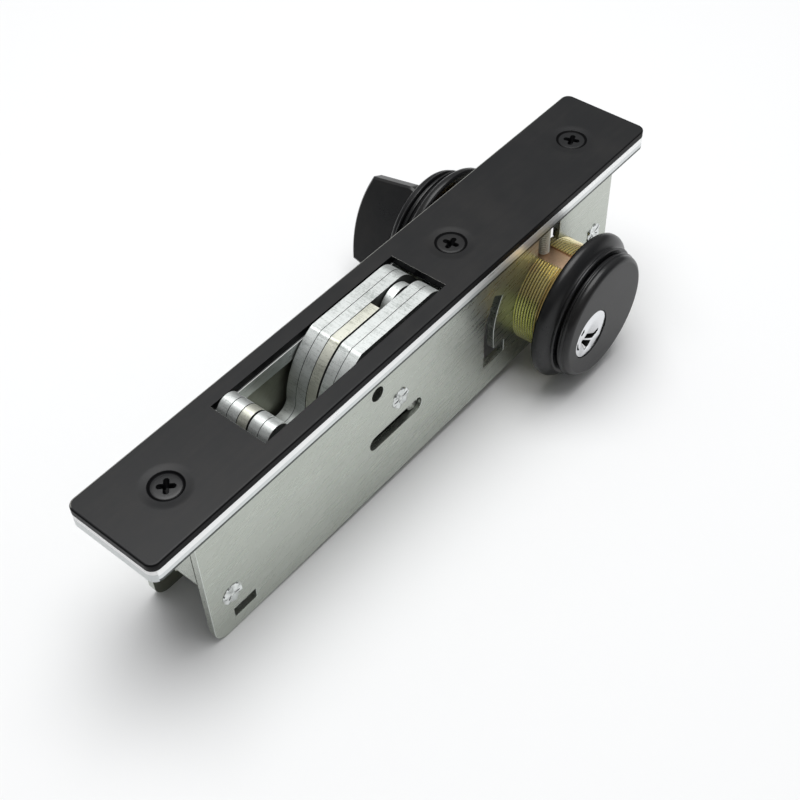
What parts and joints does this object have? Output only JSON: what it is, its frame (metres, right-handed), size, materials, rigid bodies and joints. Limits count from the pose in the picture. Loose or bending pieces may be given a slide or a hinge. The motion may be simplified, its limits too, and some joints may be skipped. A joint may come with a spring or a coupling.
{
  "type": "mortise hook lock",
  "caption": "Mortise hook lock with a black faceplate, a laminated swinging hook in a slim open case, a keyed cylinder on one side and a thumb turn on the other.",
  "frame": {"origin": "centre of the line through the two mounting holes, on the front plate's underside, which seats on the door edge", "axes": "+X along the faceplate from the hook's nose towards the cylinders, +Y towards the thumb-turn side, +Z out of the door edge through the faceplate"},
  "size_m": [0.1772, 0.0774, 0.0496],
  "materials": {
    "black_satin": "satin black",
    "zinc_plate": "bright zinc plate, brushed",
    "hook_steel": "matt silver zinc plate",
    "yellow_zinc": "yellow chromate",
    "pin_steel": "plain bright steel",
    "plug_chrome": "polished"
  },
  "bodies": {
    "case": {"front_plate": "zinc_plate", "cover_plate": "black_satin", "cover_screws": "black_satin", "case_side_key": "zinc_plate", "case_side_turn": "zinc_plate", "spacer_posts": "pin_steel", "hook_pivot_pin": "pin_steel", "cylinder_set_screws": "yellow_zinc", "key_cylinder_shell": "yellow_zinc", "key_collar_ring": "black_satin", "key_ring_washer": "black_satin", "turn_cylinder_shell": "yellow_zinc", "turn_collar_ring": "black_satin", "turn_ring_washer": "black_satin"},
    "hook": {"hook_ply_1": "hook_steel", "hook_ply_2": "hook_steel", "hook_ply_3": "yellow_zinc", "hook_ply_4": "hook_steel", "hook_ply_5": "hook_steel", "hook_rivets": "pin_steel", "lever_pin": "pin_steel", "drive_lever": "hook_steel"},
    "drive": {"drive_bar_key": "zinc_plate", "drive_bar_turn": "zinc_plate", "drive_pin": "pin_steel", "strike_pin": "pin_steel"},
    "key_barrel": {"key_plug": "plug_chrome", "key_cam": "pin_steel", "key_cam_screws": "pin_steel"},
    "turn_barrel": {"turn_spindle": "pin_steel", "turn_cam": "pin_steel", "turn_cam_screws": "pin_steel", "thumb_turn": "black_satin"}
  },
  "joints": [
    {"name": "hook_swing", "type": "hinge", "parent": "case", "child": "hook", "pos_m": [-0.0114, 0, -0.0138], "axis": [0, 1, 0], "range_deg": [0, 90]},
    {"name": "drive_slide", "type": "slide", "parent": "case", "child": "drive", "axis": [-1, 0, 0], "range_m": [0, 0.0149]},
    {"name": "key_turn", "type": "hinge", "parent": "case", "child": "key_barrel", "pos_m": [0.0424, 0, -0.0239], "axis": [0, 1, 0], "range_deg": [-115, 115]},
    {"name": "thumb_turn_turn", "type": "hinge", "parent": "case", "child": "turn_barrel", "pos_m": [0.0424, 0, -0.0239], "axis": [0, 1, 0], "range_deg": [-115, 115]}
  ],
  "couplings": [
    {"joint": "drive_slide", "follows": "hook_swing", "m_per_rad": 0.0094856}
  ]
}
